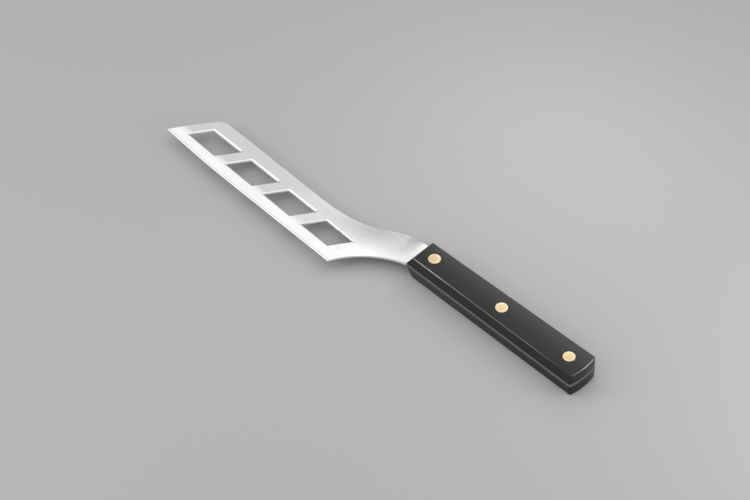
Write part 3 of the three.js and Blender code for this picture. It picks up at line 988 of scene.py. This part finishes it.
def rivet_row_tree():
    """Sets one rivet half at equal steps along the handle and keeps its own place on each copy."""
    tree, given, keys = new_tree("rivet_row", {
        "Count": "Int", "First": "Vector", "Step": "Vector", "Brass": "Material"})
    where = add(tree, "GeometryNodeInputPosition")
    spot = add(tree, "GeometryNodeStoreNamedAttribute", {
        "Geometry": given["Geometry"], "Name": "rivet_spot", "Value": where.outputs[0]},
        data_type="FLOAT_VECTOR", domain="POINT")
    row = add(tree, "GeometryNodeMeshLine", {
        "Count": given["Count"], "Start Location": given["First"], "Offset": given["Step"]})
    set_in = add(tree, "GeometryNodeInstanceOnPoints", {
        "Points": row.outputs[0], "Instance": spot.outputs[0]})
    real = add(tree, "GeometryNodeRealizeInstances", {"Geometry": set_in.outputs[0]})
    brassed = add(tree, "GeometryNodeSetMaterial", {
        "Geometry": real.outputs[0], "Material": given["Brass"]})
    add(tree, "NodeGroupOutput", {0: brassed.outputs[0]})
    return tree, keys


def head_profile():
    """Outer face and rim of a rivet head, from its side to the middle of its face."""
    side, top = HEAD_RADIUS - HEAD_RIM, OUTER_FACE - HEAD_DISH - HEAD_RIM
    turns = [math.pi / 2 * i / HEAD_RIM_STEPS for i in range(HEAD_RIM_STEPS + 1)]
    rounded = [(side + HEAD_RIM * math.cos(a), top + HEAD_RIM * math.sin(a)) for a in turns]
    face = [(HEAD_RADIUS * share, OUTER_FACE - HEAD_DISH * share ** 2) for share in HEAD_RINGS]
    return rounded + face + [(0, OUTER_FACE)]


def make_knife():
    blade = make_blade()
    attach(blade, "root")
    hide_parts("blade_and_tang")

    acetal = buffed_black_acetal()
    for side, turned_over in (("upper", False), ("lower", True)):
        scale = make_scale("acetal_scale_" + side, turned_over, acetal)
        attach(scale, "root")
        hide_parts(side + "_scale")

    bore_floor = -OUTER_FACE + HEAD_HEIGHT
    head_foot = OUTER_FACE - HEAD_HEIGHT
    shank_end = bore_floor + SHANK_END_GAP
    tube_end = head_foot - TUBE_END_GAP
    male = [(0, shank_end), (SHANK_RADIUS, shank_end), (SHANK_RADIUS, head_foot),
            (HEAD_RADIUS, head_foot)] + head_profile()
    female = [(r, -z) for r, z in reversed(head_profile())] + [
        (HEAD_RADIUS, bore_floor), (TUBE_RADIUS, bore_floor), (TUBE_RADIUS, tube_end),
        (BORE_RADIUS, tube_end), (BORE_RADIUS, bore_floor), (0, bore_floor)]
    brass = turned_brass()
    tree, keys = rivet_row_tree()
    for half, profile in (("male", male), ("female", female)):
        rivets = turned_piece("brass_rivets_" + half, profile)
        grow(rivets, tree, keys, {
            "Count": RIVET_COUNT,
            "First": place(RIVET_FROM_FRONT, 0, 0),
            "Step": (RIVET_STEP * MM, 0, 0),
            "Brass": brass,
        })
        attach(rivets, "root")
        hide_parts(*[f"{spot}_rivet_{half}" for spot in ("front", "middle", "rear")])


# Viewing angle: azimuth and elevation over the handle, roll, and where the heel shows
AZIMUTH = math.radians(40.73)
ELEVATION = math.radians(49.0)
ROLL = math.radians(3.0)
CAMERA_DISTANCE = 8.0
SENSOR_WIDTH = 36.0
PIXELS_PER_MM = 2.0
PICTURE = (750, 500)
HEEL_PIXEL = (327.4, 261.0)

ALONG, ACROSS, UP = Vector((1, 0, 0)), Vector((0, 1, 0)), Vector((0, 0, 1))
TOWARDS = ALONG * math.sin(AZIMUTH) - ACROSS * math.cos(AZIMUTH)
TO_CAMERA = TOWARDS * math.cos(ELEVATION) + UP * math.sin(ELEVATION)

# Plain floor, in metres
FLOOR_RADIUS = 12.0
FLOOR_STEPS = 96
FLOOR_ROUGHNESS = 0.9

# Brightness of the studio's near and far walls, of the ring of light overhead and of its dimmer
# middle, with the shares of the way across and of the way up between which they change
NEAR_WALL = 0.8
FAR_WALL = 0.38
WALL_CHANGE = (-0.5, 0.5)
RING = 0.84
RING_CHANGE = (0.669, 0.835)
MIDDLE = -0.35
MIDDLE_CHANGE = (0.93, 0.975)

# Lamps' distances from what mirrors them, in metres
NEAR_DISTANCE = 0.55
BUTT_DISTANCE = 0.24
BACK_DISTANCE = 0.15
NECK_DISTANCE = 0.4

# Share by which the far half of the bowed butt faces the far side
FAR_BUTT_TURN = 0.03


def stand(obj, right, up, back, spot):
    """Sets up a camera or lamp, which looks away from its back, on a spot."""
    turned = Matrix((right, up, back)).transposed().to_4x4()
    turned.translation = spot
    obj.matrix_world = turned


def make_camera():
    level_right = ALONG * math.cos(AZIMUTH) + ACROSS * math.sin(AZIMUTH)
    level_down = TOWARDS * math.sin(ELEVATION) - UP * math.cos(ELEVATION)
    right = level_right * math.cos(ROLL) - level_down * math.sin(ROLL)
    down = level_right * math.sin(ROLL) + level_down * math.cos(ROLL)
    data = bpy.data.cameras.new("camera")
    data.sensor_width = SENSOR_WIDTH
    data.lens = PIXELS_PER_MM / MM * CAMERA_DISTANCE / PICTURE[0] * SENSOR_WIDTH
    aside = (HEEL_PIXEL[0] - PICTURE[0] / 2) / PIXELS_PER_MM * MM
    below = (HEEL_PIXEL[1] - PICTURE[1] / 2) / PIXELS_PER_MM * MM
    spot = place(HEEL.x, HEEL.y, 0) - right * aside - down * below + TO_CAMERA * CAMERA_DISTANCE
    camera = new_object("camera", data)
    stand(camera, right, -down, TO_CAMERA, spot)
    bpy.context.scene.camera = camera


def make_floor():
    bm = bmesh.new()
    bmesh.ops.create_circle(bm, cap_ends=True, segments=FLOOR_STEPS, radius=FLOOR_RADIUS)
    floor = object_from(bm, "floor")
    material, tree, shader = new_material("pale_floor")
    shader.inputs["Base Color"].default_value = hex_colour("#b0b0af")
    shader.inputs["Roughness"].default_value = FLOOR_ROUGHNESS
    floor.data.materials.append(material)


def seen_in(normal):
    """The way to whatever a face with this normal mirrors to the camera."""
    normal = normal.normalized()
    return normal * 2 * normal.dot(TO_CAMERA) - TO_CAMERA


def make_light(name, aim, way, distance, width_along, size, brightness):
    """A softbox seen from a spot in a given way, with its width laid as near as can be to an axis.

    Its face is as bright as given, where 1 is the brightness of a white surface.
    """
    data = bpy.data.lights.new(name, "AREA")
    data.shape = "RECTANGLE"
    data.size, data.size_y = size
    data.energy = brightness * size[0] * size[1] * math.pi
    light = new_object(name, data)
    back = way.normalized()
    side = (width_along - back * width_along.dot(back)).normalized()
    stand(light, side, back.cross(side), back, aim + back * distance)
    light.visible_camera = False


def make_lights():
    """Lamps that the handle's near bevel, its butt's bevel, its top and the neck mirror.

    They are aimed at spots in millimetres, and their sizes are in metres.
    """
    outwards = -ALONG * math.sin(FLARE) - ACROSS * math.cos(FLARE)
    near_bevel = outwards * SCALE_CHAMFER_DROP + UP * SCALE_CHAMFER_WIDTH
    butt_bevel = ALONG * SCALE_CHAMFER_DROP + UP * SCALE_CHAMFER_WIDTH
    far_butt_bevel = butt_bevel + ACROSS * FAR_BUTT_TURN
    make_light("near_softbox", place(30, -8, 7), seen_in(near_bevel), NEAR_DISTANCE, ALONG,
               size=(0.17, 0.06), brightness=3.9)
    make_light("near_spot", place(-40, -8, 7), seen_in(near_bevel), NEAR_DISTANCE, ALONG,
               size=(0.03, 0.06), brightness=28.0)
    make_light("butt_softbox", place(114, 0, 7), seen_in(butt_bevel), BUTT_DISTANCE, ACROSS,
               size=(0.2, 0.02), brightness=7.0)
    make_light("butt_spot", place(114, 2, 7), seen_in(far_butt_bevel), BUTT_DISTANCE, ACROSS,
               size=(0.08, 0.02), brightness=8.0)
    make_light("back_panel", place(58, 52, 7), seen_in(UP), BACK_DISTANCE, ALONG,
               size=(0.13, 0.08), brightness=1.5)
    make_light("neck_softbox", place(-16, -41, 1), seen_in(UP), NECK_DISTANCE, ALONG,
               size=(0.04, 0.04), brightness=0.85)


def make_studio():
    make_floor()
    make_lights()
    world = bpy.data.worlds.new("studio")
    bpy.context.scene.world = world
    world.use_nodes = True
    tree = world.node_tree
    tree.nodes.clear()
    way = add(tree, "ShaderNodeSeparateXYZ", {0: add(tree, "ShaderNodeTexCoord").outputs["Generated"]})
    # White walls that are brighter on the near side, and a ring of light overhead with a soft edge
    walls = add(tree, "ShaderNodeMapRange", {
        "Value": way.outputs["Y"], "From Min": WALL_CHANGE[0], "From Max": WALL_CHANGE[1],
        "To Min": NEAR_WALL, "To Max": FAR_WALL})
    strength = walls.outputs["Result"]
    for brightness, change in ((RING, RING_CHANGE), (MIDDLE, MIDDLE_CHANGE)):
        overhead = add(tree, "ShaderNodeMapRange", {
            "Value": way.outputs["Z"], "From Min": change[0], "From Max": change[1],
            "To Min": 0.0, "To Max": brightness})
        strength = add(tree, "ShaderNodeMath", {
            0: strength, 1: overhead.outputs["Result"]}, operation="ADD").outputs[0]
    background = add(tree, "ShaderNodeBackground", {"Color": (1, 1, 1, 1), "Strength": strength})
    add(tree, "ShaderNodeOutputWorld", {"Surface": background.outputs[0]})
    bpy.context.scene.view_settings.view_transform = "Standard"


make_knife()
make_camera()
make_studio()
